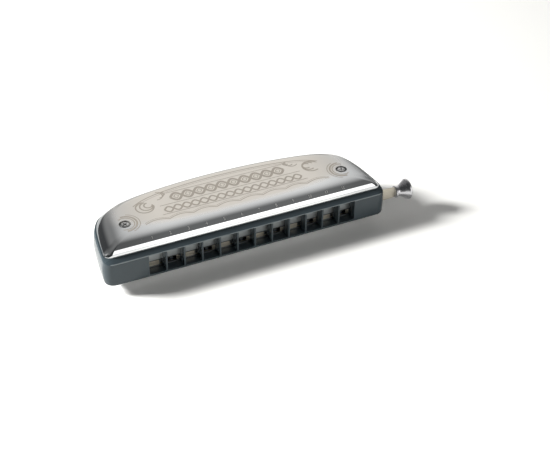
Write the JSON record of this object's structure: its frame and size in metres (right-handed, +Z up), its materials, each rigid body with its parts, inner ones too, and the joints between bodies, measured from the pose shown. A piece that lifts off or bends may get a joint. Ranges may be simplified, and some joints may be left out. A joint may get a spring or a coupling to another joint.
{
  "type": "chromatic harmonica",
  "caption": "Chromatic mouth organ with curved metal covers, a black mouthpiece comb, reed plates and a spring-returned side slide button.",
  "frame": {"origin": "middle of the lower cover's flat underside, half way between the body's ends and 23 mm behind the mouthpiece face", "axes": "+X along the body towards the slide button, +Y away from the mouthpiece, +Z up from the flat underside"},
  "size_m": [0.1628, 0.0471, 0.025],
  "materials": {
    "black_plastic": "glossy moulded ABS",
    "polished_cover": "bright plated sheet steel, satin flat with a light etched border",
    "nickel_silver": "plated brass sheet, satin",
    "chrome": "bright plated",
    "brass": "rolled, satin",
    "silicone": "soft, matt"
  },
  "bodies": {
    "instrument": {"comb_body": "black_plastic", "upper_cover": "polished_cover", "lower_cover": "polished_cover", "upper_reed_plate": "brass", "lower_reed_plate": "brass", "upper_plate_screw_1": "brass", "upper_plate_screw_2": "brass", "upper_plate_screw_3": "brass", "upper_plate_screw_4": "brass", "upper_plate_screw_5": "brass", "upper_plate_screw_6": "brass", "lower_plate_screw_1": "brass", "lower_plate_screw_2": "brass", "lower_plate_screw_3": "brass", "lower_plate_screw_4": "brass", "lower_plate_screw_5": "brass", "lower_plate_screw_6": "brass", "cover_bolt_left": "chrome", "cover_nut_left": "chrome", "cover_bolt_right": "chrome", "cover_nut_right": "chrome", "slide_front_plate": "nickel_silver", "slide_back_plate": "nickel_silver", "slide_spring": "chrome", "slide_bumper": "silicone"},
    "slide": {"slide": "nickel_silver", "slide_button": "chrome"}
  },
  "joints": [
    {"name": "slide_press", "type": "slide", "parent": "instrument", "child": "slide", "axis": [-1, 0, 0], "range_m": [0, 0.0045], "stiffness_N_per_m": 500, "springref_m": -0.004, "deforming": ["slide_spring"]}
  ]
}
